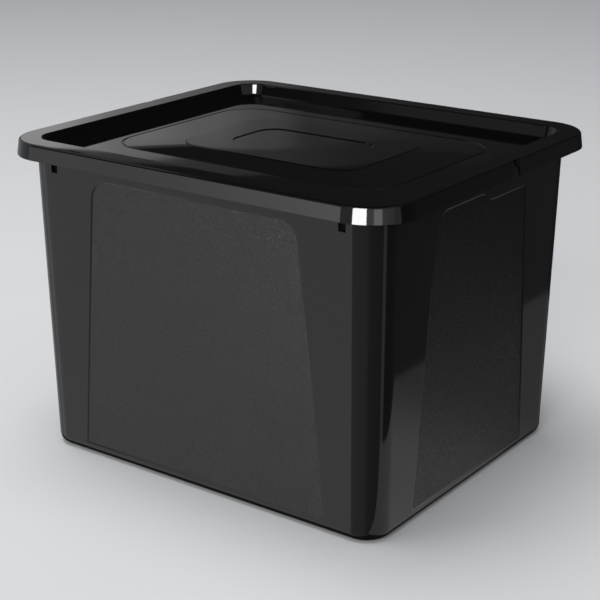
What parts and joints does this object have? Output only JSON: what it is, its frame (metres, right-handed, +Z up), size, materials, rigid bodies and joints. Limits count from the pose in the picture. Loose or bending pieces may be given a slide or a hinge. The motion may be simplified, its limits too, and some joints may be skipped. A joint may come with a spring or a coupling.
{
  "type": "lidded storage box",
  "caption": "Tapered rectangular plastic storage box with grained wall panels and a lift-off tray lid with a recessed, embossed field.",
  "frame": {"origin": "bottom centre of the box, on the plane that its foot ring stands on", "axes": "+X along the long side, -Y towards the front face, +Z up"},
  "size_m": [0.407, 0.355, 0.292],
  "materials": {
    "tub_plastic": "polished black polypropylene with pebble-grained wall panels",
    "lid_plastic": "high-gloss black polypropylene"
  },
  "bodies": {
    "tub": {"tub": "tub_plastic"},
    "lid": {"lid": "lid_plastic"}
  },
  "joints": [
    {"name": "lid_lift", "type": "slide", "parent": "tub", "child": "lid", "axis": [0, 0, 1], "range_m": [0, 0.3]}
  ]
}
